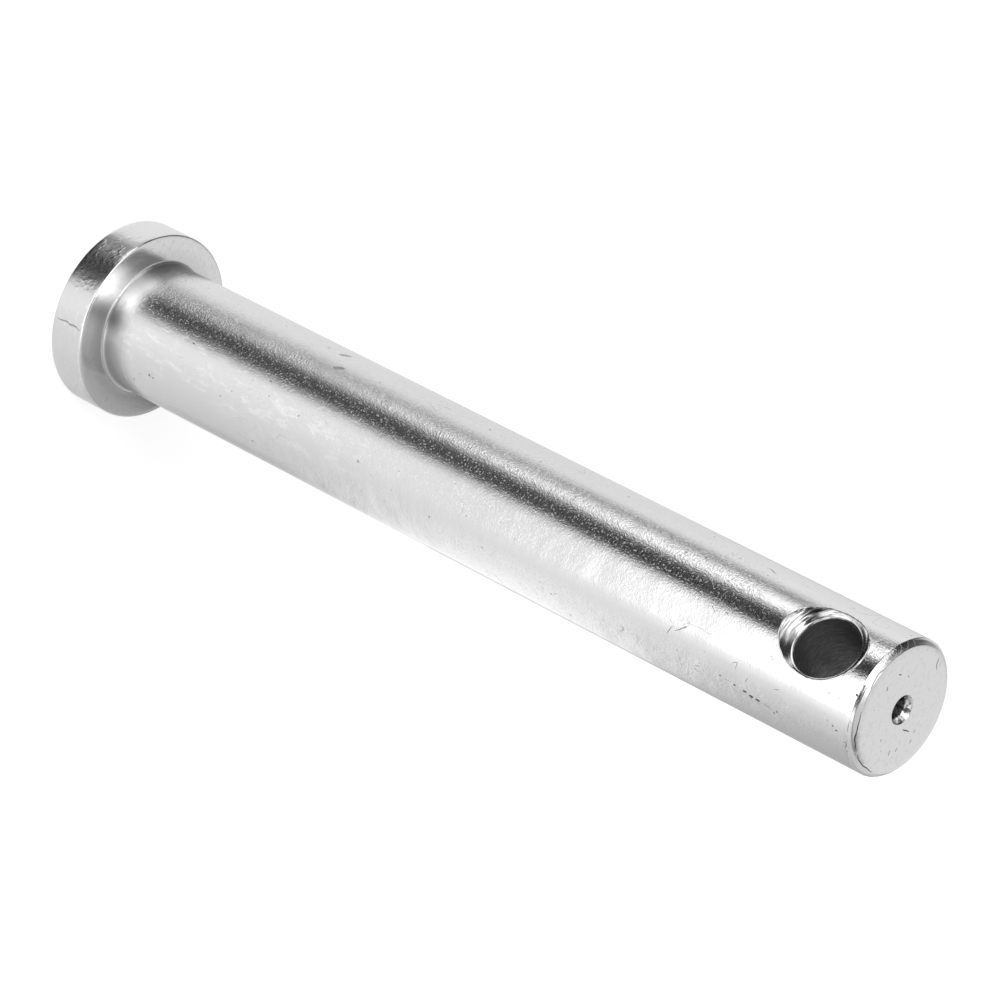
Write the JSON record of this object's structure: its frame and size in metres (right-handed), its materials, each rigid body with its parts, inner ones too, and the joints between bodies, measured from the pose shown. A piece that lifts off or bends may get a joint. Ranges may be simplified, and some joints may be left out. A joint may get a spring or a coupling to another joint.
{
  "type": "clevis pin",
  "caption": "Turned steel clevis pin with a flat round head, a plain shank and a countersunk cross-hole near its chamfered tail.",
  "frame": {"origin": "centre of the head's outer face, which the pin stands on", "axes": "+Z along the pin from the head to the tail; the cross-hole runs along Y, with the mouth shown by the picture towards -Y"},
  "size_m": [0.036, 0.036, 0.19],
  "materials": {
    "plated_steel": "bright zinc-plated turned steel, near mirror with fine turning marks, small pits and handling scratches; cross-hole darker inside"
  },
  "bodies": {
    "root": {"clevis_pin": "plated_steel"}
  },
  "joints": []
}
